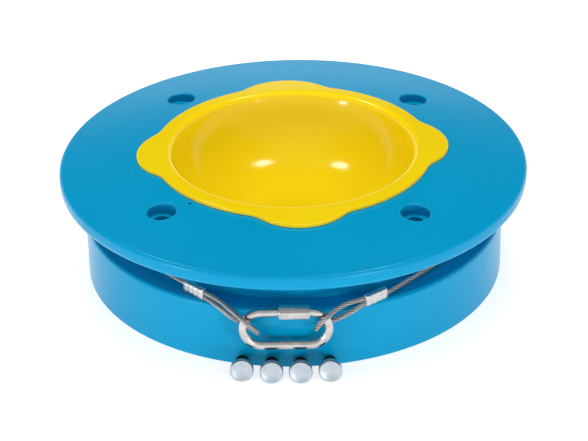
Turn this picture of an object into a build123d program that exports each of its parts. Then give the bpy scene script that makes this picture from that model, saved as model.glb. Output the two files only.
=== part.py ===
from build123d import *
from math import acos, atan, atan2, cos, degrees, hypot, pi, radians, sin, sqrt, tan
import os

# Ground-level spinner: a blue drum with a grooved neck, a blue crowned disc that turns on a ball
# ring inside the neck, a yellow bowl that drops into the disc, a wire-rope tether round the neck
# closed by a screw link, and four loose fixing bolts in front.
# Millimetres. The origin is on the floor, on the turning axis. +Z is up and -Y is the front.

os.makedirs("parts", exist_ok=True)

# ---- driving dimensions -------------------------------------------------------------------
disc_radius = 210.0          # turning disc
crown_rise = 14.0            # how far the crown would rise from the rim to the axis
rim_thickness = 13.5
rim_top_edge = 3.0             # rounded edges
rim_bottom_edge = 5.0
rim_lip_width = 26.0         # flat underside of the rim
rim_lip_slope = 5.0
web_recess = 2.5             # underside of the disc inside the lip, above the lip
disc_gap = 31.1              # open groove between the drum and the rim

drum_height = 55.4
drum_overhang = 21.4         # the disc stands out this far past the drum
drum_wall = 6.0
drum_edge_radius = 3.0
drum_opening_inset = 16.0    # hole in the drum's top, inside the neck's outside
base_plate_thickness = 4.0
base_plate_gap = 0.6
base_hole_radius = 6.0       # drain holes
base_hole_circle = 90.0
lug_radius = 9.0
lug_count = 6

shoulder_width = 20.6        # drum's top outside the neck
neck_wall = 4.0
neck_flange_thickness = 5.0
neck_flange_fit = 0.5
neck_top_gap = 2.5           # running gap under the disc
neck_screw_inset = 6.0
neck_screw_count = 6

bolt_shank_radius = 6.0
bolt_head_radius = 10.0
bolt_head_height = 5.4
bolt_length = 20.0
bolt_chamfer = 0.9
bolt_wall_gap = 0.5          # from the tip to the drum
bolt_places = (-46.1, -21.1, 3.4, 28.4)

fixing_count = 4
fixing_angle = 42.5
fixing_hole_gap = 0.75       # hole round the bolt's shank
fixing_bore_gap = 2.8        # counterbore round the bolt's head
fixing_bore_depth = 8.5
fixing_mouth_radius = 1.2
boss_wall = 2.9
boss_height = 9.5
boss_gap = 2.0               # to the inside of the neck
thread_depth = 0.9

race_boss_gap = 1.0             # between a boss and the races
ball_radius = 4.0
ball_count = 24
race_half_width = 9.0
race_thickness = 7.5
race_gap = 3.0
groove_clearance = 0.05
cage_thickness = 1.6
cage_half_width = 7.0
cage_fit = 0.1

post_radius = 10.0
post_count = 4
support_ring_in = 12.0       # from the ball circle to each edge
support_ring_out = 13.0
support_ring_thickness = 5.0
turn_plate_thickness = 4.0
turn_plate_gap = 1.0         # to the inside of the neck
plate_screw_inset = 3.0
plate_screw_count = 8
clip_count = 4
clip_arc = 9.0
clip_thickness = 3.0
clip_hook = 2.0
clip_gap = 0.5

opening_inset = 6.0          # from the support ring in to the bowl's opening
opening_gap = 5.7            # round the bowl's outside
bowl_wall = 3.5
bowl_depth = 58.0
bowl_wall_rise = 3.9            # straight part of the side, up to the rim
bowl_side_angle = 75.0
bowl_flange_width = 16.7
bowl_flange_thickness = 3.0
bowl_flange_edge = 1.2
bowl_lip_radius = 6.0
ear_projection = 14.8        # past the flange
ear_radius = 47.3
ear_blend_radius = 28.0
ear_count = 4
ear_angle = 3.3
seat_gap = 0.3
vent_radius = 1.6
vent_gap = 5.0               # outside the flange
vent_angle = -133.3

rope_radius = 2.0
rope_gap = 0.3
ferrule_length = 22.0
ferrule_wall = 1.25
ferrule_waist = 0.9
ferrule_edge = 0.5
ferrule_fit = 0.02
ferrule_rise = 5.6           # middle of the ferrules above the drum
lobe_offset = 2.2            # each rope run, above and below the ferrule's middle

link_wire_radius = 4.0
link_length = 80.0
link_height = 40.0
link_stand_off = 9.4         # plane of the wire, in front of the drum
link_middle_x = -8.2
link_drop = 10.8             # middle of the link below the drum's top
link_gap_start = -1.5
link_gap_end = 7.0
link_relief_width = 1.0
link_relief_depth = 0.5
nut_length = 26.1
nut_flats = 11.5
nut_start = -14.3
nut_turn = 10.0
nut_bevel = 1.2
nut_clearance = 0.05

# screws inside: head radius and height, shank radius and length
base_screw = {"head": (4.9, 2.4), "shank": (2.5, 20.0), "countersunk": True}
post_screw = {"head": (6.1, 3.2), "shank": (3.0, 16.0), "countersunk": True}
neck_screw = {"head": (5.4, 3.5), "shank": (3.0, 15.0), "countersunk": False}
plate_screw = {"head": (4.0, 3.0), "shank": (2.0, 13.5), "countersunk": False}
thread_fit = 0.05
hole_fit = 0.25
sink_depth = 0.1             # countersunk heads lie this far under the face

# ---- derived sizes ------------------------------------------------------------------------
drum_radius = disc_radius - drum_overhang
neck_radius = drum_radius - shoulder_width
neck_inside = neck_radius - neck_wall
neck_screw_circle = neck_inside - neck_screw_inset
drum_opening_radius = neck_radius - drum_opening_inset
lug_circle_radius = drum_radius - drum_wall - lug_radius + 1.0

boss_thread_radius = bolt_shank_radius - thread_depth
boss_radius = boss_thread_radius + boss_wall
fixing_circle_radius = neck_inside - boss_gap - boss_radius
ball_circle_radius = fixing_circle_radius - boss_radius - race_boss_gap - race_half_width
race_inner = ball_circle_radius - race_half_width
race_outer = ball_circle_radius + race_half_width
support_ring_inner = ball_circle_radius - support_ring_in
support_ring_outer = ball_circle_radius + support_ring_out
turn_plate_inner = support_ring_inner - clip_gap
turn_plate_outer = neck_inside - turn_plate_gap
fixing_hole_radius = bolt_shank_radius + fixing_hole_gap
fixing_bore_radius = bolt_head_radius + fixing_bore_gap
plate_screw_circle = fixing_circle_radius - plate_screw_inset
plate_screw_start = fixing_angle + 180.0 / plate_screw_count

bowl_opening_radius = support_ring_inner - opening_inset
bowl_radius = bowl_opening_radius - opening_gap - bowl_wall
bowl_flange_radius = bowl_radius + bowl_flange_width
ear_reach = bowl_flange_radius + ear_projection
ear_distance = ear_reach - ear_radius
vent_circle_radius = bowl_flange_radius + vent_gap

rim_bottom = drum_height + disc_gap
rim_top = rim_bottom + rim_thickness
web_height = rim_bottom + web_recess
turn_plate_bottom = web_height - turn_plate_thickness
upper_race_bottom = turn_plate_bottom - race_thickness
lower_race_top = upper_race_bottom - race_gap
ball_height = lower_race_top + race_gap / 2
lower_race_bottom = lower_race_top - race_thickness
support_ring_bottom = lower_race_bottom - support_ring_thickness

crown_radius = (disc_radius**2 + crown_rise**2) / (2 * crown_rise)


def crown_height(r, above=0.0):
    """Height of the disc's crowned top at radius r, or of a skin that lies above it."""
    centre = rim_top + crown_rise - crown_radius
    return centre + sqrt((crown_radius + above) ** 2 - r**2)


bowl_rim_height = crown_height(bowl_radius, seat_gap + bowl_flange_thickness)
bowl_floor = bowl_rim_height - bowl_depth
side_lean = radians(bowl_side_angle)
bowl_corner_radius = (bowl_depth - bowl_wall_rise) / (1 - cos(side_lean))

ferrule_height = drum_height + ferrule_rise
link_front = -(drum_radius + link_stand_off)
link_middle_z = drum_height - link_drop


# ---- helpers ------------------------------------------------------------------------------
def save(builder, name):
    builder.part.label = name
    export_step(builder.part, f"parts/{name}.step")
    print(f"{name}: {len(builder.part.solids())} solids, {builder.part.volume:.0f} mm3")


def ring(inner, outer, bottom, thickness):
    """A flat ring about the turning axis."""
    with BuildPart() as made:
        with BuildSketch(Plane.XY.offset(bottom)):
            Circle(outer)
            Circle(inner, mode=Mode.SUBTRACT)
        extrude(amount=thickness)
    return made.part


def screw_group(name, places, height, upward, head, shank, countersunk):
    """Equal screws at (radius, angle) places; upward screws have their heads below."""
    head_radius, head_height = head
    shank_radius, length = shank
    way = 1 if upward else -1
    total = length if countersunk else head_height + length
    under_head = [(shank_radius, head_height)]
    if not countersunk:
        under_head = [(head_radius, head_height)] + under_head
    with BuildPart() as made:
        for radius, angle in places:
            x = radius * cos(radians(angle))
            y = radius * sin(radians(angle))
            half = Plane(origin=(x, y, height), x_dir=(1, 0, 0), z_dir=(0, -way, 0))
            with BuildSketch(half):
                with BuildLine():
                    Polyline(
                        (0, 0), (head_radius, 0), *under_head, (shank_radius, total), (0, total),
                        close=True,
                    )
                make_face()
            revolve(axis=Axis((x, y, height), (0, 0, 1)))
    save(made, name)


def sunk_hole(screw, depth):
    """A countersunk hole for one of the screws, at the current locations."""
    CounterSinkHole(screw["shank"][0] + hole_fit, screw["head"][0] + hole_fit, depth=depth)


def middle_distance(edge):
    """How far an edge's middle lies from the turning axis."""
    middle = edge.center(CenterOf.MASS)
    return hypot(middle.X, middle.Y)


def around(radius, count, start=0.0):
    return [(radius, start + 360.0 * i / count) for i in range(count)]


# ---- drum ---------------------------------------------------------------------------------
neck_screw_start = 15.0
neck_screw_places = around(neck_screw_circle, neck_screw_count, neck_screw_start)
lug_places = around(lug_circle_radius, lug_count)
post_places = around(ball_circle_radius, post_count)
lug_bottom = base_plate_thickness + base_plate_gap
upward_hole = (Align.CENTER, Align.CENTER, Align.MIN)
downward_hole = (Align.CENTER, Align.CENTER, Align.MAX)

with BuildPart() as drum_shell:
    with BuildSketch(Plane.XZ):
        with BuildLine():
            Polyline(
                (drum_radius - drum_wall, 0),
                (drum_radius, 0),
                (drum_radius, drum_height),
                (drum_opening_radius, drum_height),
                (drum_opening_radius, drum_height - drum_wall),
                (drum_radius - drum_wall, drum_height - drum_wall),
                close=True,
            )
        make_face()
    revolve(axis=Axis.Z)
    outer_edges = drum_shell.edges().filter_by(GeomType.CIRCLE)
    shoulder = outer_edges.filter_by(lambda e: abs(e.radius - drum_radius) < 0.01)
    fillet(shoulder.sort_by(Axis.Z)[-1], radius=drum_edge_radius)
    with BuildSketch(Plane.XY.offset(lug_bottom)):
        with PolarLocations(lug_circle_radius, lug_count):
            Circle(lug_radius)
    extrude(amount=drum_height - drum_wall / 2 - lug_bottom)
    with Locations(Plane.XY.offset(lug_bottom)):
        with PolarLocations(lug_circle_radius, lug_count):
            Cylinder(base_screw["shank"][0] + thread_fit, base_screw["shank"][1],
                     align=upward_hole, mode=Mode.SUBTRACT)
    with Locations(Plane.XY.offset(drum_height)):
        with PolarLocations(neck_screw_circle, neck_screw_count, start_angle=neck_screw_start):
            Cylinder(neck_screw["shank"][0] + thread_fit, drum_wall, align=downward_hole,
                     mode=Mode.SUBTRACT)
save(drum_shell, "drum_shell")

with BuildPart() as base_plate:
    with BuildSketch():
        Circle(drum_radius - drum_wall - base_plate_gap)
        with PolarLocations(base_hole_circle, 4, start_angle=45.0):
            Circle(base_hole_radius, mode=Mode.SUBTRACT)
    extrude(amount=base_plate_thickness)
    with Locations(Plane.XY.rotated((180, 0, 0))):
        with PolarLocations(lug_circle_radius, lug_count):
            sunk_hole(base_screw, base_plate_thickness)
        with PolarLocations(ball_circle_radius, post_count):
            sunk_hole(post_screw, base_plate_thickness)
save(base_plate, "base_plate")

screw_group("base_plate_screws", lug_places, sink_depth, True, **base_screw)

neck_flange_top = drum_height + neck_flange_thickness
with BuildPart() as neck_ring:
    with BuildSketch(Plane.XZ):
        with BuildLine():
            Polyline(
                (drum_opening_radius + neck_flange_fit, drum_height),
                (neck_radius, drum_height),
                (neck_radius, web_height - neck_top_gap),
                (neck_inside, web_height - neck_top_gap),
                (neck_inside, neck_flange_top),
                (drum_opening_radius + neck_flange_fit, neck_flange_top),
                close=True,
            )
        make_face()
    revolve(axis=Axis.Z)
    with Locations(Plane.XY.offset(drum_height)):
        with PolarLocations(neck_screw_circle, neck_screw_count, start_angle=neck_screw_start):
            Cylinder(neck_screw["shank"][0] + hole_fit, neck_flange_thickness, align=upward_hole,
                     mode=Mode.SUBTRACT)
save(neck_ring, "neck_ring")

screw_group("neck_screws", neck_screw_places, neck_flange_top + neck_screw["head"][1], False,
            **neck_screw)

# ---- bearing support inside the neck ------------------------------------------------------
with BuildPart() as support_posts:
    with BuildSketch(Plane.XY.offset(base_plate_thickness)):
        with PolarLocations(ball_circle_radius, post_count):
            Circle(post_radius)
    extrude(amount=support_ring_bottom - base_plate_thickness)
    with Locations(Plane.XY.offset(base_plate_thickness)):
        with PolarLocations(ball_circle_radius, post_count):
            Cylinder(post_screw["shank"][0] + thread_fit, post_screw["shank"][1],
                     align=upward_hole, mode=Mode.SUBTRACT)
    with Locations(Plane.XY.offset(support_ring_bottom)):
        with PolarLocations(ball_circle_radius, post_count):
            Cylinder(post_screw["shank"][0] + thread_fit, post_screw["shank"][1],
                     align=downward_hole, mode=Mode.SUBTRACT)
save(support_posts, "support_posts")
screw_group("post_foot_screws", post_places, sink_depth, True, **post_screw)

with BuildPart() as support_ring:
    add(ring(support_ring_inner, support_ring_outer, support_ring_bottom, support_ring_thickness))
    with Locations(Plane.XY.offset(lower_race_bottom)):
        with PolarLocations(ball_circle_radius, post_count):
            sunk_hole(post_screw, support_ring_thickness)
save(support_ring, "support_ring")
screw_group("support_ring_screws", post_places, lower_race_bottom - sink_depth, False,
            **post_screw)


def race(name, bottom):
    """A flat race with a round groove for the balls."""
    with BuildPart() as made:
        add(ring(race_inner, race_outer, bottom, race_thickness))
        with BuildSketch(Plane.XZ):
            with Locations((ball_circle_radius, ball_height)):
                Circle(ball_radius + groove_clearance)
        revolve(axis=Axis.Z, mode=Mode.SUBTRACT)
    save(made, name)


race("lower_race", lower_race_bottom)
race("upper_race", upper_race_bottom)

with BuildPart() as bearing_balls:
    with Locations(Plane.XY.offset(ball_height)):
        with PolarLocations(ball_circle_radius, ball_count):
            Sphere(ball_radius)
save(bearing_balls, "bearing_balls")

with BuildPart() as ball_cage:
    add(ring(ball_circle_radius - cage_half_width, ball_circle_radius + cage_half_width,
             ball_height - cage_thickness / 2, cage_thickness))
    with Locations(Plane.XY.offset(ball_height)):
        with PolarLocations(ball_circle_radius, ball_count):
            Cylinder(ball_radius + cage_fit, cage_thickness, mode=Mode.SUBTRACT)
save(ball_cage, "ball_cage")

# ---- turning disc and what hangs under it -------------------------------------------------
with BuildPart() as top_disc:
    with BuildSketch(Plane.XZ):
        with BuildLine():
            middle = (disc_radius + bowl_opening_radius) / 2
            ThreePointArc(
                (bowl_opening_radius, crown_height(bowl_opening_radius)),
                (middle, crown_height(middle)),
                (disc_radius, rim_top),
            )
            Polyline(
                (disc_radius, rim_top),
                (disc_radius, rim_bottom),
                (disc_radius - rim_lip_width, rim_bottom),
                (disc_radius - rim_lip_width - rim_lip_slope, web_height),
                (bowl_opening_radius, web_height),
                (bowl_opening_radius, crown_height(bowl_opening_radius)),
            )
        make_face()
    revolve(axis=Axis.Z)
    rim = top_disc.edges().filter_by(GeomType.CIRCLE)
    outer_edges = rim.filter_by(lambda e: abs(e.radius - disc_radius) < 0.01).sort_by(Axis.Z)
    fillet(outer_edges[-1], radius=rim_top_edge)
    rim = top_disc.edges().filter_by(GeomType.CIRCLE)
    outer_edges = rim.filter_by(lambda e: abs(e.radius - disc_radius) < 0.01).sort_by(Axis.Z)
    fillet(outer_edges[0], radius=rim_bottom_edge)
    bore_floor = crown_height(fixing_circle_radius) - fixing_bore_depth
    with Locations(Plane.XY.offset(bore_floor)):
        with PolarLocations(fixing_circle_radius, fixing_count, start_angle=fixing_angle):
            Cylinder(fixing_bore_radius, 2 * fixing_bore_depth, align=upward_hole,
                     mode=Mode.SUBTRACT)
            Cylinder(fixing_hole_radius, disc_gap, align=downward_hole, mode=Mode.SUBTRACT)
        with PolarLocations(vent_circle_radius, 1, start_angle=vent_angle):
            Cylinder(vent_radius, 2 * disc_gap, mode=Mode.SUBTRACT)
    with Locations(Plane.XY.offset(turn_plate_bottom)):
        with PolarLocations(plate_screw_circle, plate_screw_count, start_angle=plate_screw_start):
            Cylinder(plate_screw["shank"][0] + thread_fit, plate_screw["shank"][1] + 0.5,
                     align=upward_hole, mode=Mode.SUBTRACT)
    mouths = top_disc.edges().filter_by(
        lambda e: e.geom_type != GeomType.CIRCLE
        and e.length > 5.5 * fixing_bore_radius
        and abs(middle_distance(e) - fixing_circle_radius) < 3.0
    )
    fillet(mouths, radius=fixing_mouth_radius)
save(top_disc, "top_disc")

plate_screw_places = around(plate_screw_circle, plate_screw_count, plate_screw_start)
with BuildPart() as turn_plate:
    add(ring(turn_plate_inner, turn_plate_outer, turn_plate_bottom, turn_plate_thickness))
    with Locations(Plane.XY.offset(turn_plate_bottom)):
        with PolarLocations(fixing_circle_radius, fixing_count, start_angle=fixing_angle):
            Cylinder(fixing_hole_radius, turn_plate_thickness, align=upward_hole,
                     mode=Mode.SUBTRACT)
        with PolarLocations(plate_screw_circle, plate_screw_count, start_angle=plate_screw_start):
            Cylinder(plate_screw["shank"][0] + hole_fit, turn_plate_thickness,
                     align=upward_hole, mode=Mode.SUBTRACT)
save(turn_plate, "turn_plate")
screw_group("turn_plate_screws", plate_screw_places, turn_plate_bottom - plate_screw["head"][1],
            True, **plate_screw)

with BuildPart() as threaded_bosses:
    with BuildSketch(Plane.XY.offset(turn_plate_bottom - boss_height)):
        with PolarLocations(fixing_circle_radius, fixing_count, start_angle=fixing_angle):
            Circle(boss_radius)
            Circle(boss_thread_radius, mode=Mode.SUBTRACT)
    extrude(amount=boss_height)
save(threaded_bosses, "threaded_bosses")

with BuildPart() as keeper_clips:
    clip_inner = turn_plate_inner - clip_thickness
    hook_top = support_ring_bottom - clip_gap
    for number in range(clip_count):
        turn = 45.0 + 360.0 * number / clip_count - clip_arc / 2
        with BuildSketch(Plane.XZ.rotated((0, 0, turn))):
            with BuildLine():
                Polyline(
                    (clip_inner, web_height),
                    (clip_inner, hook_top - clip_thickness),
                    (turn_plate_inner + clip_hook, hook_top - clip_thickness),
                    (turn_plate_inner + clip_hook, hook_top),
                    (turn_plate_inner, hook_top),
                    (turn_plate_inner, web_height),
                    close=True,
                )
            make_face()
        revolve(axis=Axis.Z, revolution_arc=clip_arc)
save(keeper_clips, "keeper_clips")

# ---- bowl ---------------------------------------------------------------------------------
flat_radius = bowl_radius - bowl_corner_radius * sin(side_lean)
corner_height = bowl_floor + bowl_corner_radius


def bowl_section(corner, above_rim):
    """Half section inside the bowl's surface of this corner radius, cut off flat above the rim."""
    bottom = corner_height - corner
    start = (flat_radius, bottom)
    halfway = (flat_radius + corner * sin(side_lean / 2), corner_height - corner * cos(side_lean / 2))
    end = (flat_radius + corner * sin(side_lean), corner_height - corner * cos(side_lean))
    rise = bowl_rim_height + above_rim - end[1]
    top = (end[0] + rise / tan(side_lean), end[1] + rise)
    with BuildSketch(Plane.XZ) as section:
        with BuildLine():
            Line((0, bottom), start)
            ThreePointArc(start, halfway, end)
            Polyline(end, top, (0, top[1]), (0, bottom))
        make_face()
    return section.sketch


bowl_outside = bowl_section(bowl_corner_radius + bowl_wall, -bowl_flange_thickness / 2)
bowl_inside = bowl_section(bowl_corner_radius, bowl_flange_thickness)

with BuildPart() as bowl:
    flange_bottom = seat_gap
    flange_top = seat_gap + bowl_flange_thickness
    inner_cut = bowl_radius - 12.0
    outer_cut = ear_reach + 5.0
    with BuildSketch(Plane.XZ):
        with BuildLine():
            middle = (inner_cut + outer_cut) / 2
            cuts = (inner_cut, middle, outer_cut)
            under = [(r, crown_height(r, flange_bottom)) for r in cuts]
            over = [(r, crown_height(r, flange_top)) for r in cuts]
            ThreePointArc(*under)
            Line(under[2], over[2])
            ThreePointArc(*over)
            Line(over[0], under[0])
        make_face()
    revolve(axis=Axis.Z)
    with BuildSketch(Plane.XY.offset(rim_top)) as outline:
        Circle(bowl_flange_radius)
        with PolarLocations(ear_distance, ear_count, start_angle=ear_angle):
            Circle(ear_radius)
        corners = outline.vertices().filter_by(
            lambda v: abs(hypot(v.X, v.Y) - bowl_flange_radius) < 0.05
        )
        fillet(corners, radius=ear_blend_radius)
    extrude(amount=crown_rise + 10.0, mode=Mode.INTERSECT)
    rim_edges = bowl.edges().filter_by(
        lambda e: hypot(e.center().X, e.center().Y) > bowl_radius
        and e.center().Z > crown_height(hypot(e.center().X, e.center().Y), flange_top - 1.0)
    )
    long_edges = rim_edges.filter_by(lambda e: e.length > bowl_flange_thickness + 0.5)
    fillet(long_edges, radius=bowl_flange_edge)
    revolve(bowl_outside.faces(), axis=Axis.Z)
    revolve(bowl_inside.faces(), axis=Axis.Z, mode=Mode.SUBTRACT)
    lip = bowl.edges().filter_by(
        lambda e: e.center().Z > bowl_rim_height - 1.5
        and abs(e.length / (2 * pi) - bowl_radius) < 3.0
    )
    fillet(lip, radius=bowl_lip_radius)
save(bowl, "bowl")

# ---- tether: rope, ferrules ---------------------------------------------------------------
wrap_radius = neck_radius + rope_radius + rope_gap
low = ferrule_height - lobe_offset
high = ferrule_height + lobe_offset


def unit(x, y):
    return x / hypot(x, y), y / hypot(x, y)


left_outer = (-93.2, -152.5)
left_way = unit(0.724, -0.690)
right_outer = (76.2, -169.2)
right_way = unit(-0.784, -0.621)


def along(start, way, distance, z):
    return (start[0] + way[0] * distance, start[1] + way[1] * distance, z)


def neck_points(start, end, count):
    """Corners of a polygon that touches the wrap circle, between its two tangent runs."""
    def tangent_angle(point, side):
        reach = hypot(point[0], point[1])
        return degrees(atan2(point[1], point[0])) + side * degrees(acos(wrap_radius / reach))

    first = tangent_angle(start, -1) % 360.0
    last = tangent_angle(end, 1)
    step = (first - last) / count
    vertex_radius = wrap_radius / cos(radians(step / 2))
    lowest = drum_height + rope_radius + 0.4
    points = []
    for i in range(count):
        angle = radians(first - (i + 0.5) * step)
        drop = (1.0 - (i + 0.5) / count) ** 2
        z = lowest + (high - 0.6 - lowest) * drop + 0.6 * (i / count) ** 2
        points.append((vertex_radius * cos(angle), vertex_radius * sin(angle), z))
    return points


ferrule_clear = 3.0
left_eye = [
    along(left_outer, left_way, 0.0, low),
    along(left_outer, left_way, ferrule_length + 4.0, low),
    (-64.5, -183.2, 57.6),
    (-54.5, -188.4, 50.6),
    (-46.0, -189.9, 46.4),
    (-38.2, -190.3, 42.9),
    (-33.0, -195.4, 40.9),
    (-31.8, -203.4, 42.8),
    (-35.4, -207.2, 49.6),
    (-42.6, -206.8, 56.6),
    (-52.2, -197.4, 61.6),
    (-62.9, -182.4, 63.4),
    along(left_outer, left_way, ferrule_length + 2.0, high),
]
leave_left = along(left_outer, left_way, -ferrule_clear, high)
enter_right = along(right_outer, right_way, -ferrule_clear, low)
right_eye = [
    along(right_outer, right_way, ferrule_length + 3.0, low),
    (46.6, -188.6, 53.4),
    (37.4, -189.9, 48.9),
    (28.6, -190.3, 45.7),
    (21.2, -191.6, 43.9),
    (17.2, -196.4, 43.2),
    (16.4, -203.6, 46.4),
    (19.0, -207.2, 53.0),
    (25.8, -206.2, 59.2),
    (34.4, -197.4, 62.4),
    (45.0, -188.8, 63.2),
    along(right_outer, right_way, ferrule_length + 2.0, high),
    along(right_outer, right_way, 0.0, high),
]
neck_count = 14
route = left_eye + [leave_left] + neck_points(leave_left, enter_right, neck_count)
route = route + [enter_right] + right_eye


def route_radii(points):
    """Each corner's arc takes 0.45 of its shorter run."""
    radii = []
    for before, corner, after in zip(points, points[1:], points[2:]):
        run_in = Vector(*corner) - Vector(*before)
        run_out = Vector(*after) - Vector(*corner)
        half_turn = radians(run_in.get_angle(run_out)) / 2
        radii.append(0.45 * min(run_in.length, run_out.length) / tan(half_turn))
    return radii


radii = route_radii(route)
print("tether arc radii:", [round(r, 1) for r in radii])
with BuildPart() as tether_rope:
    with BuildLine() as rope_line:
        FilletPolyline(*route, radius=radii)
    with BuildSketch(Plane(origin=rope_line.wire() @ 0, z_dir=rope_line.wire() % 0)):
        Circle(rope_radius)
    sweep(path=rope_line.wire())
rope_length = rope_line.wire().length
section = pi * rope_radius**2
print(f"tether length {rope_length:.1f} mm, volume ratio "
      f"{tether_rope.part.volume / (section * rope_length):.4f}")
save(tether_rope, "tether_rope")


def ferrule(name, start, way):
    """A pressed oval sleeve over two rope runs, one above the other, with a waist between."""
    sleeve = Plane(origin=(start[0], start[1], ferrule_height), x_dir=(0, 0, 1),
                   z_dir=(way[0], way[1], 0))
    lobe = rope_radius + ferrule_wall
    with BuildPart() as made:
        with BuildSketch(sleeve):
            with Locations((lobe_offset, 0), (-lobe_offset, 0)):
                Circle(lobe)
            Rectangle(2 * lobe_offset, 2 * lobe - ferrule_waist)
        extrude(amount=ferrule_length)
        ends = made.faces().sort_by(Axis((0, 0, 0), (way[0], way[1], 0)))
        chamfer(ends[0].edges() + ends[-1].edges(), length=ferrule_edge)
        with BuildSketch(sleeve):
            with Locations((lobe_offset, 0), (-lobe_offset, 0)):
                Circle(rope_radius + ferrule_fit)
        extrude(amount=ferrule_length, mode=Mode.SUBTRACT)
    save(made, name)


ferrule("ferrule_left", left_outer, left_way)
ferrule("ferrule_right", right_outer, right_way)

# ---- screw link ---------------------------------------------------------------------------
bend = link_height / 2 - link_wire_radius
left_bend_x = link_middle_x - link_length / 2 + link_wire_radius + bend
right_bend_x = link_middle_x + link_length / 2 - link_wire_radius - bend
bar_top = link_middle_z + bend
bar_bottom = link_middle_z - bend
link_plane = Plane(origin=(0, link_front, 0), x_dir=(1, 0, 0), z_dir=(0, -1, 0))
with BuildPart() as quick_link:
    with BuildLine(link_plane) as link_line:
        Line((link_gap_end, bar_top), (right_bend_x, bar_top))
        ThreePointArc((right_bend_x, bar_top), (right_bend_x + bend, link_middle_z),
                      (right_bend_x, bar_bottom))
        Line((right_bend_x, bar_bottom), (left_bend_x, bar_bottom))
        ThreePointArc((left_bend_x, bar_bottom), (left_bend_x - bend, link_middle_z),
                      (left_bend_x, bar_top))
        Line((left_bend_x, bar_top), (link_gap_start, bar_top))
    with BuildSketch(Plane(origin=link_line.wire() @ 0, z_dir=link_line.wire() % 0)):
        Circle(link_wire_radius)
    sweep(path=link_line.wire())
    relief_start = nut_start - 1.4 * link_relief_width
    with BuildSketch(Plane(origin=(relief_start, link_front, bar_top), z_dir=(1, 0, 0))):
        Circle(link_wire_radius + link_relief_depth)
        Circle(link_wire_radius - link_relief_depth, mode=Mode.SUBTRACT)
    extrude(amount=link_relief_width, mode=Mode.SUBTRACT)
save(quick_link, "quick_link")

with BuildPart() as link_nut:
    nut_plane = Plane(origin=(nut_start, link_front, bar_top), x_dir=(0, 0, 1), z_dir=(1, 0, 0))
    with BuildSketch(nut_plane):
        RegularPolygon(nut_flats / 2, 6, major_radius=False, rotation=nut_turn)
    extrude(amount=nut_length)
    flat_edge = nut_flats / 2 - 0.1
    corner_edge = nut_flats / 2 / cos(pi / 6) + 0.1
    nut_half = Plane(origin=(nut_start, link_front, bar_top), x_dir=(1, 0, 0), z_dir=(0, -1, 0))
    with BuildSketch(nut_half):
        with BuildLine():
            Polyline(
                (0, 0), (0, flat_edge), (nut_bevel, corner_edge),
                (nut_length - nut_bevel, corner_edge), (nut_length, flat_edge),
                (nut_length, 0), close=True,
            )
        make_face()
    revolve(axis=Axis((nut_start, link_front, bar_top), (1, 0, 0)), mode=Mode.INTERSECT)
    with BuildSketch(nut_plane):
        Circle(link_wire_radius + nut_clearance)
    extrude(amount=nut_length, mode=Mode.SUBTRACT)
save(link_nut, "link_nut")

# ---- loose fixing bolts -------------------------------------------------------------------
bolt_tilt = atan((bolt_head_radius - bolt_shank_radius) / (bolt_length - bolt_chamfer))


def loose_bolt(name, x):
    """A bolt lying on the floor on its head's inner edge and its tip, head to the front."""
    near_x = max(0.0, abs(x) - bolt_shank_radius)
    wall = -sqrt(drum_radius**2 - near_x**2) - bolt_wall_gap
    reach = (bolt_head_height + bolt_length) * cos(bolt_tilt) + bolt_shank_radius * sin(bolt_tilt)
    height = bolt_head_radius * cos(bolt_tilt) + bolt_head_height * sin(bolt_tilt)
    axis_way = (0, cos(bolt_tilt), -sin(bolt_tilt))
    face = Plane(origin=(x, wall - reach, height), x_dir=(1, 0, 0), z_dir=axis_way)
    with BuildPart() as made:
        with BuildSketch(face):
            Circle(bolt_head_radius)
        extrude(amount=bolt_head_height)
        with BuildSketch(face.offset(bolt_head_height)):
            Circle(bolt_shank_radius)
        extrude(amount=bolt_length)
        order = made.edges().sort_by(Axis(face.origin, axis_way))
        chamfer(order[0], length=bolt_chamfer)
        chamfer(order[-1], length=bolt_chamfer)
    save(made, name)


for number, place in enumerate(bolt_places, start=1):
    loose_bolt(f"bolt_{number}", place)
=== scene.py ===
# %% [markdown]
# # A spinning playground disc
# The object is a wide blue disc that turns on a low blue drum, with a yellow bowl for a seat in
# its middle, a wire tether round its neck and four loose bolts in front. The solids come from the
# CAD frame. This lesson adds the camera, the rope, the small hardware and every finish.

# %% Open the frame
import math

import bmesh
import bpy
import numpy as np
from mathutils import Matrix, Vector


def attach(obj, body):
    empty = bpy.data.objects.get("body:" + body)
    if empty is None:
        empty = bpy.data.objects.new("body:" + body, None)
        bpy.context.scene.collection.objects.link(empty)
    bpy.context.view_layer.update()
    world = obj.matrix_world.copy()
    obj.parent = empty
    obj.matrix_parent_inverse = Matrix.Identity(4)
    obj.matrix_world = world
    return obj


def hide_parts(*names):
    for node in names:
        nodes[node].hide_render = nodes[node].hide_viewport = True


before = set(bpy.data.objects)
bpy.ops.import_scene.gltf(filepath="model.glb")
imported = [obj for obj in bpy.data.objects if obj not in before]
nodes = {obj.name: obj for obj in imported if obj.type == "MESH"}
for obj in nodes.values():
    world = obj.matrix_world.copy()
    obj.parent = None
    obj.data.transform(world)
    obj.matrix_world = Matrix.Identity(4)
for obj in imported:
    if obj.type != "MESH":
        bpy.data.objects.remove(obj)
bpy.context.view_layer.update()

scene = bpy.context.scene
scene.view_settings.view_transform = "Standard"
mm = 0.001

# %% [markdown]
# ## Camera
# The view is a long lens from the front, 30 degrees above the floor, turned a little on its own
# axis. A matrix built from the line of sight holds the turn without any constraint.

# %% Camera
DISC_RADIUS = 0.210
camera_elevation = math.radians(30.23)
camera_distance = 10.0 * DISC_RADIUS
camera_aim = Vector((0.0, 0.0, 0.1738 * DISC_RADIUS))
camera_roll = math.radians(-1.01)
lens_mm = 139.4

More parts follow.
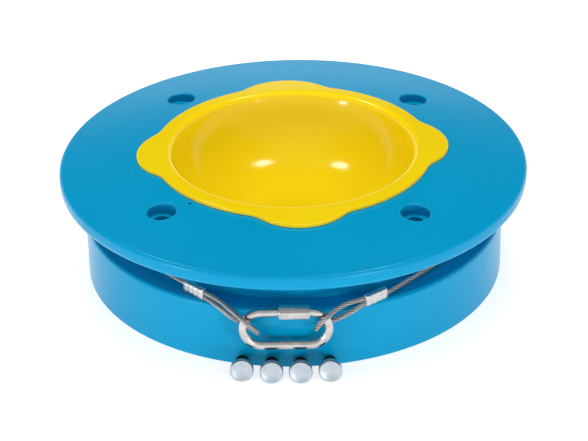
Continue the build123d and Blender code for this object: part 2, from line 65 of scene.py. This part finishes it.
eye = Vector((0.0, -math.cos(camera_elevation), math.sin(camera_elevation))) * camera_distance
sight = (camera_aim - eye).normalized()
right = sight.cross(Vector((0.0, 0.0, 1.0))).normalized()
up = right.cross(sight)
across = right * math.cos(camera_roll) + up * math.sin(camera_roll)
upright = up * math.cos(camera_roll) - right * math.sin(camera_roll)
camera = bpy.data.objects.new("camera", bpy.data.cameras.new("camera"))
camera.data.sensor_width = 36.0
camera.data.lens = lens_mm
camera.matrix_world = Matrix((
    (across.x, upright.x, -sight.x, eye.x),
    (across.y, upright.y, -sight.y, eye.y),
    (across.z, upright.z, -sight.z, eye.z),
    (0.0, 0.0, 0.0, 1.0),
))
scene.collection.objects.link(camera)
scene.camera = camera
print("camera at", [round(v, 3) for v in eye], "lens", round(lens_mm, 1), "mm")

# %% [markdown]
# ## The tether's route
# The tether is a 4 mm wire rope. It leaves its left ferrule, turns round the screw link, comes
# back through the ferrule, runs once round the neck under the disc, and does the same on the
# right. One smooth spline through a few points gives the line of a real rope, because a rope has
# no corners. Everything that lies along the rope is built on points read from that spline.

# %% The route's points
LOW, HIGH = 58.8, 63.2
WRAP_RADIUS = 170.3
LOWEST = 57.8
NECK_COUNT = 14
LEFT_FERRULE = ((-93.2, -152.5), (0.724, -0.690))
RIGHT_FERRULE = ((76.2, -169.2), (-0.784, -0.621))


def along(ferrule, distance, z):
    """A point on a ferrule's line, this far from its outer end towards the link, in millimetres."""
    (x, y), (way_x, way_y) = ferrule
    size = math.hypot(way_x, way_y)
    return (x + way_x / size * distance, y + way_y / size * distance, z)


def tangent_angle(point, side):
    """Angle in degrees at which a line from the point touches the wrap circle."""
    reach = math.hypot(point[0], point[1])
    return math.degrees(math.atan2(point[1], point[0]) + side * math.acos(WRAP_RADIUS / reach))


def neck_points(leave, enter, count):
    """Corners of the polygon that wraps the neck from one ferrule to the other."""
    first = tangent_angle(leave, -1) % 360
    last = tangent_angle(enter, 1)
    span = (first - last) % 360
    step = span / count
    corner_radius = WRAP_RADIUS / math.cos(math.radians(step / 2))
    points = []
    for i in range(count):
        angle = math.radians(first - (i + 0.5) * step)
        z = LOWEST + (HIGH - 0.6 - LOWEST) * (1 - (i + 0.5) / count) ** 2 + 0.6 * (i / count) ** 2
        points.append((corner_radius * math.cos(angle), corner_radius * math.sin(angle), z))
    return points


left_eye = [
    along(LEFT_FERRULE, 0.0, LOW), along(LEFT_FERRULE, 26.0, LOW),
    (-64.5, -183.2, 57.6), (-54.5, -188.4, 50.6), (-46.0, -189.9, 46.4), (-38.2, -190.3, 42.9),
    (-33.0, -195.4, 40.9), (-31.8, -203.4, 42.8), (-35.4, -207.2, 49.6), (-42.6, -206.8, 56.6),
    (-52.2, -197.4, 61.6), (-62.9, -182.4, 63.4), along(LEFT_FERRULE, 24.0, HIGH),
]
leave_left = along(LEFT_FERRULE, -3.0, HIGH)
enter_right = along(RIGHT_FERRULE, -3.0, LOW)
right_eye = [
    along(RIGHT_FERRULE, 25.0, LOW),
    (46.6, -188.6, 53.4), (37.4, -189.9, 48.9), (28.6, -190.3, 45.7), (21.2, -191.6, 43.9),
    (17.2, -196.4, 43.2), (16.4, -203.6, 46.4), (19.0, -207.2, 53.0), (25.8, -206.2, 59.2),
    (34.4, -197.4, 62.4), (45.0, -188.8, 63.2), along(RIGHT_FERRULE, 24.0, HIGH),
    along(RIGHT_FERRULE, 0.0, HIGH),
]
neck = neck_points(leave_left, enter_right, NECK_COUNT)
route = left_eye + [leave_left] + neck + [enter_right] + right_eye
print("route points:", len(route))

# %% [markdown]
# ## From route to line
# The spline could be given a round bevel, but that would be a smooth hose. Blender turns a curve
# without a bevel into a plain chain of points, and these are spaced evenly here, so that a
# stranded section can be turned a little more at each.

# %% The spline, read back as points
guide = bpy.data.curves.new("tether_guide", "CURVE")
guide.dimensions = "3D"
spline = guide.splines.new("NURBS")
spline.points.add(len(route) - 1)
for point, place in zip(spline.points, route):
    point.co = (*(Vector(place) * mm), 1.0)
spline.order_u = 3
spline.use_endpoint_u = True
spline.resolution_u = 24
guide_object = bpy.data.objects.new("tether_guide", guide)
scene.collection.objects.link(guide_object)
bpy.context.view_layer.update()
read = bpy.data.meshes.new_from_object(guide_object)
raw = np.array([v.co[:] for v in read.vertices])
bpy.data.objects.remove(guide_object)
bpy.data.meshes.remove(read)

steps = np.linalg.norm(np.diff(raw, axis=0), axis=1)
raw = raw[np.concatenate([[True], steps > 1e-7])]
reach = np.concatenate([[0.0], np.cumsum(np.linalg.norm(np.diff(raw, axis=0), axis=1))])
rope_length = reach[-1]
RING_STEP = 0.0021
stations = np.linspace(0.0, rope_length, int(rope_length / RING_STEP))
line = np.stack([np.interp(stations, reach, raw[:, k]) for k in range(3)], axis=1)
print("tether length", round(rope_length, 4), "m in", len(line), "rings")

# %% [markdown]
# ## The wire rope
# A wire rope is six strands laid round a core. Seen from outside it is one surface with six round
# ridges that wind along it, so one section with six lobes is turned a little at every point of the
# line. That is far lighter than separate strands, and it has no hidden faces. Its UV map counts
# the strands across and the lay along, for the fine wires in the finish.

# %% Wire rope
ROPE_RADIUS = 0.0020
STRANDS = 6
STRAND_RADIUS = 0.00064
LAY_LENGTH = 0.024
LOBE_STEPS = 7
lobe_reach = math.radians(100.0)


def rope_section():
    """Points of the six-lobed section, with the place of each across the strands."""
    section = []
    for strand in range(STRANDS):
        middle = strand * math.tau / STRANDS
        centre = ROPE_RADIUS - STRAND_RADIUS
        for i in range(LOBE_STEPS):
            part = (i + 0.5) / LOBE_STEPS
            swing = middle + lobe_reach * (2 * part - 1)
            section.append((
                centre * math.cos(middle) + STRAND_RADIUS * math.cos(swing),
                centre * math.sin(middle) + STRAND_RADIUS * math.sin(swing),
                strand + part,
            ))
    return section


def carried_frames(line):
    """A side direction at every point, carried along the line without twist."""
    ways = np.gradient(line, axis=0)
    ways /= np.linalg.norm(ways, axis=1)[:, None]
    side = Vector((0.0, 0.0, 1.0)).cross(Vector(ways[0])).normalized()
    frames = []
    for before, way in zip([ways[0], *ways], ways):
        side = Vector(before).rotation_difference(Vector(way)) @ side
        side = (side - Vector(way) * side.dot(Vector(way))).normalized()
        frames.append((side.copy(), Vector(way).cross(side)))
    return frames


section = rope_section()
rope_mesh = bmesh.new()
uv_map = rope_mesh.loops.layers.uv.new("UVMap")
rings = []
for place, (side, other), distance in zip(line, carried_frames(line), stations):
    turn = distance / LAY_LENGTH * math.tau
    cosine, sine = math.cos(turn), math.sin(turn)
    rings.append([
        rope_mesh.verts.new(Vector(place) + side * (x * cosine - y * sine)
                            + other * (x * sine + y * cosine))
        for x, y, _ in section
    ])
for k, (ring, after) in enumerate(zip(rings, rings[1:])):
    for i in range(len(section)):
        j = (i + 1) % len(section)
        face = rope_mesh.faces.new((ring[i], ring[j], after[j], after[i]))
        face.smooth = True
        across_i = section[i][2]
        across_j = section[j][2] if j else float(STRANDS) + 0.5 / LOBE_STEPS
        for loop, u, v in zip(face.loops, (across_i, across_j, across_j, across_i),
                              (stations[k], stations[k], stations[k + 1], stations[k + 1])):
            loop[uv_map].uv = (u, v / LAY_LENGTH)
rope_mesh.faces.new(reversed(rings[0]))
rope_mesh.faces.new(rings[-1])


def finished(name, mesh, smooth=None):
    """Makes an object of a bmesh, with its normals outward."""
    bmesh.ops.recalc_face_normals(mesh, faces=mesh.faces)
    if smooth is not None:
        for face in mesh.faces:
            face.smooth = smooth
    data = bpy.data.meshes.new(name)
    mesh.to_mesh(data)
    mesh.free()
    piece = bpy.data.objects.new(name, data)
    scene.collection.objects.link(piece)
    print(name, "faces", len(data.polygons))
    return piece


rope = finished("wire_rope", rope_mesh)

# %% [markdown]
# ## Pressed ferrules
# Each eye of the tether is closed by an aluminium sleeve, pressed flat between two rope runs. It
# starts as one circle that is pulled apart into an oval with a waist, then extruded in short
# lengths. Narrow lengths between wide ones are the marks that the press leaves.

# %% Ferrules
FERRULE_HEIGHT = 61.0
LOBE_OFFSET = 2.2
LOBE_RADIUS = 3.25
PULL_SHARPNESS, WAIST_DEPTH = 1.6, 0.13
PRESS_LENGTHS = (0.5, 3.9, 0.5, 0.5, 0.5, 3.9, 0.5, 0.5, 0.5, 3.9, 0.5, 0.5, 0.5, 5.3, 0.5)
PRESS_SCALES = (0.90, *(1.0, 1.0, 0.95, 0.95) * 3, 1.0, 1.0, 0.90)


def ferrule(name, ferrule_line):
    """An oval sleeve with a waist and three press marks, on its ferrule's line."""
    mesh = bmesh.new()
    bmesh.ops.create_circle(mesh, cap_ends=True, segments=40, radius=LOBE_RADIUS * mm)
    for vertex in mesh.verts:
        pull = max(-1.0, min(1.0, PULL_SHARPNESS * vertex.co.x / (LOBE_RADIUS * mm)))
        waist = 1.0 - WAIST_DEPTH * (1.0 - abs(pull)) ** 2
        vertex.co = (vertex.co.x + pull * LOBE_OFFSET * mm, vertex.co.y * waist, 0.0)
    ends = list(mesh.faces)
    height = 0.0
    for vertex in mesh.verts:
        vertex.co *= PRESS_SCALES[0]
    for length, before, scale in zip(PRESS_LENGTHS, PRESS_SCALES, PRESS_SCALES[1:]):
        made = bmesh.ops.extrude_face_region(mesh, geom=ends[-1:])
        ends.append([part for part in made["geom"] if isinstance(part, bmesh.types.BMFace)][0])
        grown = [part for part in made["geom"] if isinstance(part, bmesh.types.BMVert)]
        bmesh.ops.scale(mesh, vec=(scale / before, scale / before, 1.0), verts=grown)
        bmesh.ops.translate(mesh, vec=(0.0, 0.0, length * mm), verts=grown)
        height += length
    inner = [face for face in ends[1:-1] if face.is_valid]
    bmesh.ops.delete(mesh, geom=inner, context="FACES_ONLY")
    (x, y), (way_x, way_y) = ferrule_line
    way = Vector((way_x, way_y, 0.0)).normalized()
    tall = Vector((0.0, 0.0, 1.0))
    flat = way.cross(tall)
    place = Matrix((
        (tall.x, flat.x, way.x, x * mm), (tall.y, flat.y, way.y, y * mm),
        (tall.z, flat.z, way.z, FERRULE_HEIGHT * mm), (0.0, 0.0, 0.0, 1.0),
    ))
    bmesh.ops.transform(mesh, matrix=place, verts=mesh.verts)
    print(name, "length", round(height, 2), "mm")
    return finished(name, mesh, smooth=True)


ferrules = [ferrule("pressed_ferrule_left", LEFT_FERRULE),
            ferrule("pressed_ferrule_right", RIGHT_FERRULE)]

# %% [markdown]
# ## The link's nut
# The screw link closes with a long hexagon nut. A six-sided prism has its corners cut first, as
# the chamfer of a turned nut does, and then every edge is rounded a little, so that it catches a
# line of light.

# %% Link nut
NUT_CORNER_CUT, NUT_EDGE, NUT_TURN = 1.2, 0.28, 10.0
NUT_LENGTH = 26.1
NUT_FLATS = 11.5
NUT_START = Vector((-14.3, -198.0, 60.6)) * mm
nut_mesh = bmesh.new()
bmesh.ops.create_cone(nut_mesh, cap_ends=True, segments=6, depth=NUT_LENGTH * mm,
                      radius1=NUT_FLATS / 2 / math.cos(math.pi / 6) * mm,
                      radius2=NUT_FLATS / 2 / math.cos(math.pi / 6) * mm)
bmesh.ops.bevel(nut_mesh, geom=list(nut_mesh.verts), affect="VERTICES",
                offset=NUT_CORNER_CUT * mm,
                segments=1, profile=0.5, material=-1)
bmesh.ops.bevel(nut_mesh, geom=list(nut_mesh.edges), affect="EDGES", offset=NUT_EDGE * mm,
                segments=2, profile=0.5, material=-1, clamp_overlap=True)
turned = Matrix.Rotation(math.radians(NUT_TURN), 4, "Z")
lifted = Matrix.Translation((0.0, 0.0, NUT_LENGTH / 2 * mm))
lying = Matrix(((0, 0, 1, NUT_START.x), (1, 0, 0, NUT_START.y), (0, 1, 0, NUT_START.z),
                (0, 0, 0, 1)))
bmesh.ops.transform(nut_mesh, matrix=lying @ turned @ lifted, verts=nut_mesh.verts)
link_nut = finished("hexagon_link_nut", nut_mesh, smooth=True)
link_nut.data.set_sharp_from_angle(angle=math.radians(32.0))

# %% [markdown]
# ## Loose fixing bolts
# The bolts are turned parts, so each is the outline of half its section, spun about its axis. The
# head has a wide chamfer and a slightly dished face, and the black shank has its thread. They lie
# on the floor on the head's edge and the tip, so the whole bolt is tilted.

# %% Bolts
DRUM_RADIUS = 188.6
HEAD_RADIUS, SHANK_RADIUS = 10.0, 6.0
HEAD_HEIGHT, SHANK_LENGTH = 5.4, 20.0
BOLT_CHAMFER, THREAD_PITCH, THREAD_DEPTH = 0.9, 1.75, 0.8
BOLT_PLACES = (-46.1, -21.1, 3.4, 28.4)
bolt_tilt = math.atan((HEAD_RADIUS - SHANK_RADIUS) / (SHANK_LENGTH - BOLT_CHAMFER))


def bolt_outline():
    """Half section of a bolt as (radius, distance from the head's face), in millimetres."""
    outline = [(0.0, 0.25), (7.4, 0.25), (7.9, 0.0), (HEAD_RADIUS - BOLT_CHAMFER, 0.0),
               (HEAD_RADIUS - 0.1, BOLT_CHAMFER - 0.1), (HEAD_RADIUS, BOLT_CHAMFER + 0.1),
               (HEAD_RADIUS, HEAD_HEIGHT - 0.3), (HEAD_RADIUS - 0.3, HEAD_HEIGHT),
               (SHANK_RADIUS, HEAD_HEIGHT), (SHANK_RADIUS, HEAD_HEIGHT + 1.6)]
    start = HEAD_HEIGHT + 2.2
    for turn in range(9):
        low_end = start + turn * THREAD_PITCH
        outline += [(SHANK_RADIUS - THREAD_DEPTH, low_end),
                    (SHANK_RADIUS - THREAD_DEPTH, low_end + 0.2),
                    (SHANK_RADIUS, low_end + 0.95), (SHANK_RADIUS, low_end + 1.15)]
    tip = HEAD_HEIGHT + SHANK_LENGTH
    return outline + [(SHANK_RADIUS - BOLT_CHAMFER, tip - 0.1), (SHANK_RADIUS - 1.1, tip), (0.0, tip)]


def loose_bolt(name, x):
    """A bolt that lies on the floor, head to the front, beside the drum's wall."""
    mesh = bmesh.new()
    corners = [mesh.verts.new((r * mm, 0.0, z * mm)) for r, z in bolt_outline()]
    edges = [mesh.edges.new(pair) for pair in zip(corners, corners[1:])]
    bmesh.ops.spin(mesh, geom=corners + edges, cent=(0, 0, 0), axis=(0, 0, 1), dvec=(0, 0, 0),
                   angle=math.tau, steps=56, use_merge=True, use_normal_flip=False,
                   use_duplicate=False)
    bmesh.ops.remove_doubles(mesh, verts=mesh.verts, dist=1e-6)
    near_x = max(0.0, abs(x) - SHANK_RADIUS)
    wall = -math.sqrt(DRUM_RADIUS**2 - near_x**2) - 0.5
    reach_back = ((HEAD_HEIGHT + SHANK_LENGTH) * math.cos(bolt_tilt)
                  + SHANK_RADIUS * math.sin(bolt_tilt))
    height = HEAD_RADIUS * math.cos(bolt_tilt) + HEAD_HEIGHT * math.sin(bolt_tilt)
    turn = Matrix.Rotation(-math.pi / 2 - bolt_tilt, 4, "X")
    place = Matrix.Translation(Vector((x, wall - reach_back, height)) * mm)
    bmesh.ops.transform(mesh, matrix=place @ turn, verts=mesh.verts)
    bolt = finished(name, mesh, smooth=True)
    bolt.data.set_sharp_from_angle(angle=math.radians(28.0))
    return bolt


bolts = [loose_bolt(f"fixing_bolt_{i}", x) for i, x in enumerate(BOLT_PLACES, start=1)]
print("bolt box", [round(v, 4) for v in bolts[0].bound_box[0]], "tilt",
      round(math.degrees(bolt_tilt), 2))

# %% [markdown]
# ## Shader maths in Python
# A finish is easier to read as an expression than as a list of links. One small class stands for
# a socket and turns +, - and * into Math nodes, and one method makes any other node.

# %% Socket and finish
class Tap:
    """A shader socket that can stand in a Python expression."""

    def __init__(self, finish, socket):
        self.finish = finish
        self.socket = socket

    def _math(self, operation, first, second):
        return self.finish.node("ShaderNodeMath", {"operation": operation}, {0: first, 1: second})

    def __add__(self, other):
        return self._math("ADD", self, other)

    def __sub__(self, other):
        return self._math("SUBTRACT", self, other)

    def __rsub__(self, other):
        return self._math("SUBTRACT", other, self)

    def __mul__(self, other):
        return self._math("MULTIPLY", self, other)

    __radd__ = __add__
    __rmul__ = __mul__


class Finish:
    """A material with its Principled shader, whose nodes are made by one method."""

    def __init__(self, name, metallic=0.0, specular=0.5):
        self.material = bpy.data.materials.new(name)
        self.material.use_nodes = True
        self.tree = self.material.node_tree
        self.shader = self.tree.nodes["Principled BSDF"]
        self.shader.inputs["Metallic"].default_value = metallic
        self.shader.inputs["Specular IOR Level"].default_value = specular

    def node(self, kind, settings, sockets, out=0):
        made = self.tree.nodes.new(kind)
        for key, value in settings.items():
            setattr(made, key, value)
        for key, value in sockets.items():
            self.feed(made.inputs[key], value)
        return Tap(self, made.outputs[out])

    def feed(self, socket, value):
        if isinstance(value, Tap):
            self.tree.links.new(value.socket, socket)
        else:
            socket.default_value = value

    def wear(self, **values):
        """Feeds the shader's own sockets: base_color, roughness, normal."""
        for key, value in values.items():
            self.feed(self.shader.inputs[key.replace("_", " ").title()], value)
        return self.material

    def place(self, stretch=(1.0, 1.0, 1.0)):
        at = self.node("ShaderNodeTexCoord", {}, {}, "Object")
        return self.node("ShaderNodeMapping", {}, {"Vector": at, "Scale": stretch})

    def noise(self, scale, detail=2.0, stretch=(1.0, 1.0, 1.0)):
        return self.node("ShaderNodeTexNoise", {}, {"Vector": self.place(stretch), "Scale": scale,
                                                   "Detail": detail}, "Fac")

    def mix(self, amount, first, second):
        return self.node("ShaderNodeMix", {"data_type": "RGBA"},
                         {0: amount, 6: first, 7: second}, 2)

    def clip(self, value, low, high):
        return self.node("ShaderNodeMapRange", {"clamp": True},
                         {"Value": value, "From Min": low, "From Max": high})

    def bump(self, height, depth, strength=1.0):
        return self.node("ShaderNodeBump", {}, {"Height": height, "Distance": depth,
                                               "Strength": strength})


print("shader classes ready")

# %% [markdown]
# ## Moulded gloss plastic
# The disc, drum, neck and bowl are gloss mouldings. Such a skin is never quite even: it has a
# very fine orange peel, a slow drift of shade, and thin handling scratches that dull the gloss.

# %% Moulded gloss
def moulded(name, colour, deep, roughness, peel=0.00003, specular=0.14):
    finish = Finish(name, specular=specular)
    drift = finish.clip(finish.noise(7.0, 3.0), 0.35, 0.68)
    grain = finish.noise(2600.0, 1.0)
    peel_height = finish.noise(520.0, 2.0)
    scratch_a = finish.clip(finish.noise(60.0, 2.0, (1.0, 28.0, 6.0)), 0.66, 0.74)
    scratch_b = finish.clip(finish.noise(54.0, 2.0, (24.0, 1.4, 5.0)), 0.67, 0.75)
    scratches = scratch_a + scratch_b
    shade = finish.mix(drift * 0.8 + grain * 0.2, (*deep, 1.0), (*colour, 1.0))
    return finish.wear(
        base_color=shade,
        roughness=roughness + drift * 0.03 + grain * 0.03 + scratches * 0.05,
        normal=finish.bump(peel_height + grain * 0.2 - scratches * 0.02, peel, 0.35),
    )


blue_gloss = moulded("moulded_blue_gloss", (0.0, 0.312, 0.575), (0.0, 0.292, 0.540), 0.20)
yellow_gloss = moulded("moulded_yellow_gloss", (0.900, 0.655, 0.006), (0.865, 0.615, 0.004), 0.09,
                       specular=0.24)
blue_paint = moulded("painted_blue_steel", (0.0, 0.250, 0.430), (0.0, 0.225, 0.395), 0.32, 0.00006)
print("mouldings:", blue_gloss.name, yellow_gloss.name, blue_paint.name)

# %% [markdown]
# ## Metals
# The link and nut are polished, the ferrules pressed and the bearing parts ground or zinc plated.
# They differ in how even the surface is, so one recipe takes the two tones, the roughness, and
# the direction and depth of the tool marks.

# %% Metals
def metal(name, bright, dull, roughness, marks=(1.0, 1.0, 1.0), mark_scale=400.0, depth=0.00002):
    finish = Finish(name, metallic=1.0)
    cloud = finish.clip(finish.noise(120.0, 3.0), 0.38, 0.66)
    tool_marks = finish.noise(mark_scale, 2.0, marks)
    speck = finish.clip(finish.noise(1500.0, 1.0), 0.62, 0.75)
    tone = finish.mix(cloud * 0.5 + speck * 0.3, (*bright, 1.0), (*dull, 1.0))
    return finish.wear(
        base_color=tone,
        roughness=roughness + cloud * 0.10 + tool_marks * 0.06,
        normal=finish.bump(tool_marks, depth, 0.4),
    )


link_steel = metal("polished_link_steel", (0.62, 0.61, 0.60), (0.42, 0.39, 0.36), 0.13,
                   (0.2, 3.0, 3.0), 500.0)
ferrule_aluminium = metal("pressed_aluminium", (0.62, 0.63, 0.64), (0.46, 0.47, 0.48), 0.34,
                          (1.0, 1.0, 1.0), 900.0, 0.00006)
bearing_steel = metal("ground_bearing_steel", (0.62, 0.62, 0.64), (0.50, 0.50, 0.52), 0.18,
                      (1.0, 1.0, 12.0), 600.0)
zinc_steel = metal("bright_zinc_steel", (0.63, 0.65, 0.68), (0.50, 0.51, 0.50), 0.30,
                   (1.0, 1.0, 1.0), 260.0, 0.00005)
cage_nylon = moulded("cage_nylon", (0.80, 0.79, 0.74), (0.74, 0.73, 0.68), 0.45, 0.00005)
print("metals:", link_steel.name, ferrule_aluminium.name, zinc_steel.name)

# %% [markdown]
# ## Bolt finish
# A bolt has a bright turned head and a black shank. One material does both: the depth of a point
# along the tilted bolt says on which side of the head's back it lies.

# %% Bolt finish
head_back = -0.2044


def bolt_finish():
    finish = Finish("turned_head_black_shank", metallic=1.0)
    at = finish.node("ShaderNodeTexCoord", {}, {}, "Object")
    y = finish.node("ShaderNodeSeparateXYZ", {}, {0: at}, "Y")
    z = finish.node("ShaderNodeSeparateXYZ", {}, {0: at}, "Z")
    depth_in = y * math.cos(bolt_tilt) - z * math.sin(bolt_tilt)
    shank = finish.clip(depth_in, head_back - 0.0004, head_back + 0.0002)
    cloud = finish.clip(finish.noise(180.0, 3.0), 0.35, 0.7)
    rings = finish.noise(900.0, 2.0)
    bright = finish.mix(cloud, (0.53, 0.59, 0.64, 1.0), (0.45, 0.51, 0.56, 1.0))
    black = finish.mix(cloud, (0.012, 0.012, 0.014, 1.0), (0.04, 0.038, 0.036, 1.0))
    return finish.wear(
        base_color=finish.mix(shank, bright, black),
        roughness=0.30 + cloud * 0.10 + shank * 0.12,
        normal=finish.bump(rings, 0.00003, 0.4),
    )


bolt_steel = bolt_finish()

# %% [markdown]
# ## Rope finish
# Each strand is itself laid from fine wires, and the grooves between strands are painted nearly
# black as shade. The UV map gives the place across a strand, for the groove and its painted shade,
# and a sine of both directions gives the wires.

# %% Rope finish
def rope_finish():
    finish = Finish("stranded_rope_steel", metallic=0.85)
    uv = finish.node("ShaderNodeUVMap", {"uv_map": "UVMap"}, {})
    across = finish.node("ShaderNodeSeparateXYZ", {}, {0: uv}, "X")
    lay = finish.node("ShaderNodeSeparateXYZ", {}, {0: uv}, "Y")
    part = finish.node("ShaderNodeMath", {"operation": "FRACT"}, {0: across})
    edge = finish.node("ShaderNodeMath", {"operation": "ABSOLUTE"}, {0: part * 2.0 - 1.0})
    # groove mask across each strand: it shapes the bump and carries the painted shade
    groove_and_painted_shade = finish.clip(edge, 0.30, 0.80)
    wires = finish.node("ShaderNodeMath", {"operation": "SINE"},
                        {0: (across * 7.0 - lay * 9.0) * math.tau})
    wire = wires * 0.5 + 0.5
    grime = finish.clip(finish.noise(350.0, 3.0), 0.4, 0.7)
    steel = finish.mix(wire * 0.8 + grime * 0.2, (0.55, 0.50, 0.45, 1.0), (0.92, 0.90, 0.86, 1.0))
    return finish.wear(
        # base colour: painted shade, nearly black, in the grooves between strands
        base_color=finish.mix(groove_and_painted_shade, steel, (0.030, 0.022, 0.016, 1.0)),
        roughness=0.30 + grime * 0.15,
        normal=finish.bump(wire - groove_and_painted_shade, 0.00012, 0.7),
    )


rope_steel = rope_finish()
print("rope and bolt finishes ready")

# %% [markdown]
# ## Finishes on the frame
# The CAD nodes that already have the right shape keep it. Each gets the finish of the slot that
# it names, and the new pieces get theirs, ride on their bodies and hide the solids they stand for.

# %% Give the finishes
finishes = {
    "blue_gloss": blue_gloss, "yellow_gloss": yellow_gloss, "blue_paint": blue_paint,
    "bearing_steel": bearing_steel, "zinc_steel": zinc_steel, "cage_nylon": cage_nylon,
    "rope_steel": rope_steel, "ferrule_aluminium": ferrule_aluminium, "link_steel": link_steel,
    "bolt_steel": bolt_steel,
}
for name, node in nodes.items():
    for slot in node.material_slots:
        wanted = slot.material.name.split(".")[0]
        slot.material = finishes[wanted]
        print(name, "->", slot.material.name)

# %% [markdown]
# ## New pieces on their bodies
# A new piece moves with a body of the frame, so each names its body, the solid that it stands for
# and its slot.

# %% Place the pieces on their bodies
def put(piece, body, node, slot):
    """Gives a new piece its finish, its body and the node that it stands for."""
    piece.data.materials.append(finishes[slot])
    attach(piece, body)
    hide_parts(node)


put(rope, "base", "tether_rope", "rope_steel")
put(ferrules[0], "base", "ferrule_left", "ferrule_aluminium")
put(ferrules[1], "base", "ferrule_right", "ferrule_aluminium")
put(link_nut, "nut", "link_nut", "link_steel")
for i, bolt in enumerate(bolts, start=1):
    put(bolt, f"loose_bolt_{i}", f"bolt_{i}", "bolt_steel")
print("pieces placed:", 4 + len(bolts))

# %% [markdown]
# ## Floor and studio light
# A plain pale floor carries a very soft shadow. A wide lamp overhead gives the even light, a
# bright low horizon gives the pale sheen at the back of the disc, and four small lamps give the
# highlights in the bowl. Above the horizon the surroundings are dark, so the disc keeps its blue.

# %% Floor
FLOOR_GLOW = 0.76
floor_mesh = bmesh.new()
bmesh.ops.create_grid(floor_mesh, x_segments=1, y_segments=1, size=6.0)
floor = finished("studio_floor", floor_mesh)
floor_finish = Finish("studio_floor")
paper = floor_finish.noise(3.0, 2.0)
floor.data.materials.append(floor_finish.wear(
    base_color=floor_finish.mix(paper, (0.52, 0.52, 0.52, 1.0), (0.55, 0.55, 0.55, 1.0)),
    roughness=0.9))
floor_finish.shader.inputs["Specular IOR Level"].default_value = 0.0
floor_finish.shader.inputs["Emission Color"].default_value = (1.0, 1.0, 1.0, 1.0)
floor_finish.shader.inputs["Emission Strength"].default_value = FLOOR_GLOW

# %% [markdown]
# ## Surroundings
# Gloss shows what stands round the object. A bright band low down gives the pale sheen at the
# back of the disc, a light front fills the metal, and the rest is dark.

# %% Surroundings
world = bpy.data.worlds.new("studio")
scene.world = world
world.use_nodes = True
sky = world.node_tree
ray = sky.nodes.new("ShaderNodeTexCoord")
split = sky.nodes.new("ShaderNodeSeparateXYZ")
sky.links.new(ray.outputs["Generated"], split.inputs[0])


def band(socket, stops):
    """A grey ramp along one direction of the surroundings."""
    ramp = sky.nodes.new("ShaderNodeValToRGB")
    ramp.color_ramp.interpolation = "EASE"
    while len(ramp.color_ramp.elements) < len(stops):
        ramp.color_ramp.elements.new(0.5)
    for element, (position, grey) in zip(ramp.color_ramp.elements, stops):
        element.position = position
        element.color = (grey, grey, grey, 1.0)
    sky.links.new(socket, ramp.inputs[0])
    return ramp.outputs[0]


horizon = band(split.outputs["Z"], ((0.0, 1.15), (0.23, 1.10), (0.36, 0.02), (1.0, 0.02)))
flip = sky.nodes.new("ShaderNodeMath")
flip.operation = "MULTIPLY"
flip.inputs[1].default_value = -1.0
sky.links.new(split.outputs["Y"], flip.inputs[0])
front = band(flip.outputs[0], ((0.0, 0.0), (0.12, 0.02), (0.50, 0.60), (1.0, 0.60)))
both = sky.nodes.new("ShaderNodeMix")
both.data_type = "RGBA"
both.blend_type = "LIGHTEN"
both.inputs[0].default_value = 1.0
sky.links.new(horizon, both.inputs[6])
sky.links.new(front, both.inputs[7])
sky.links.new(both.outputs[2], sky.nodes["Background"].inputs[0])

# %% [markdown]
# ## Lamps
# Square lamps stand for soft boxes. The wide one overhead is hidden from reflections, so that it
# lights the bowl evenly and shows no square in its gloss. The four small ones are its highlights.

# %% Lamps
def lamp(name, azimuth, elevation, distance, size, power):
    """A square lamp that looks at the object from this direction, in degrees."""
    light = bpy.data.lights.new(name, "AREA")
    light.size = size
    light.energy = power
    holder = bpy.data.objects.new(name, light)
    scene.collection.objects.link(holder)
    az, el = math.radians(azimuth), math.radians(elevation)
    way = Vector((math.cos(az) * math.cos(el), math.sin(az) * math.cos(el), math.sin(el)))
    holder.location = way * distance + Vector((0.0, 0.0, 0.08))
    holder.rotation_euler = (-way).to_track_quat("-Z", "Y").to_euler()
    print(name, "at", [round(v, 2) for v in holder.location], power, "W")
    return holder


overhead = lamp("overhead", 90.0, 82.0, 1.6, 1.3, 15.0)
overhead.visible_glossy = False
lamp("low_left", -140.0, 4.0, 1.6, 0.18, 5.0)
lamp("low_right", -60.0, 4.0, 1.6, 0.18, 5.0)
lamp("high_left", 132.0, 57.0, 1.6, 0.22, 4.0)
lamp("high_right", 53.0, 67.0, 1.6, 0.22, 4.0)
